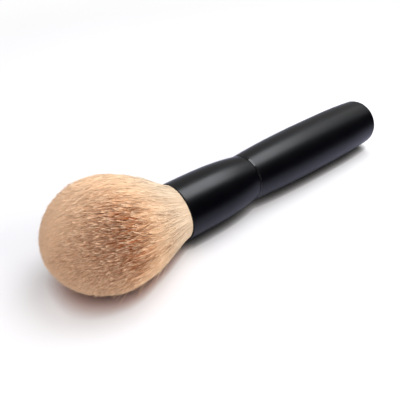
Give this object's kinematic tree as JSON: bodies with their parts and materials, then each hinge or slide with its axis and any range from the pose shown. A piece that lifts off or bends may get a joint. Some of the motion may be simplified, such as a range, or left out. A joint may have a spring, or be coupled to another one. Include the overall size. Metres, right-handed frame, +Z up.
{
  "type": "powder brush",
  "caption": "Short, thick brush for loose face powder: a full domed tuft of soft hair, a tapered black metal ferrule and a swelling black handle, lying on its side.",
  "frame": {"origin": "middle of the brush's footprint, on the surface that it lies on", "axes": "+X along the brush from the hair to the butt of the handle, +Y across it, +Z up from the surface"},
  "size_m": [0.1674, 0.0418, 0.0377],
  "materials": {
    "hair": "soft natural hair, cream at the root, tan in the middle and pale at the tips",
    "thread": "waxed thread",
    "resin": "clear amber resin, cast",
    "ferrule_coat": "drawn aluminium, anodised satin black",
    "glue": "set wood glue",
    "handle_lacquer": "turned hardwood under satin black lacquer"
  },
  "bodies": {
    "root": {"bristle_tuft": "hair", "binding_thread": "thread", "root_plug": "resin", "ferrule": "ferrule_coat", "tenon_glue": "glue", "handle": "handle_lacquer"}
  },
  "joints": []
}
